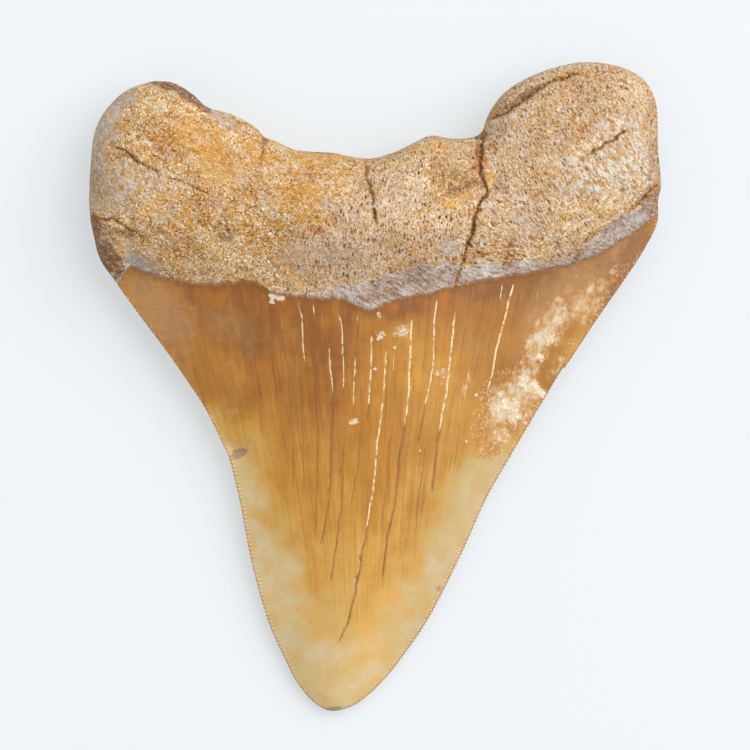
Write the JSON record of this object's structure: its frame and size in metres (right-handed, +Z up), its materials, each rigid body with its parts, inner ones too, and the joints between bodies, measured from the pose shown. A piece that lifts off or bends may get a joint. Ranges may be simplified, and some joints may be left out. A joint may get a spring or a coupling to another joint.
{
  "type": "fossil megalodon tooth",
  "caption": "Large triangular fossil shark tooth with serrated cutting edges, worn amber enamel and a thick two-lobed root; it lies on its flatter face.",
  "frame": {"origin": "on the table, under the middle of the tooth's box", "axes": "+Z up from the flatter outer face, which is down, to the rounded inner face; the tip points to -Y, the root's lobes to +Y, +X to the right as seen from above"},
  "size_m": [0.1141, 0.13, 0.0246],
  "materials": {
    "tooth": "satin enamel blade with a rough, grainy, matt root"
  },
  "bodies": {
    "root": {"tooth": "tooth"}
  },
  "joints": []
}
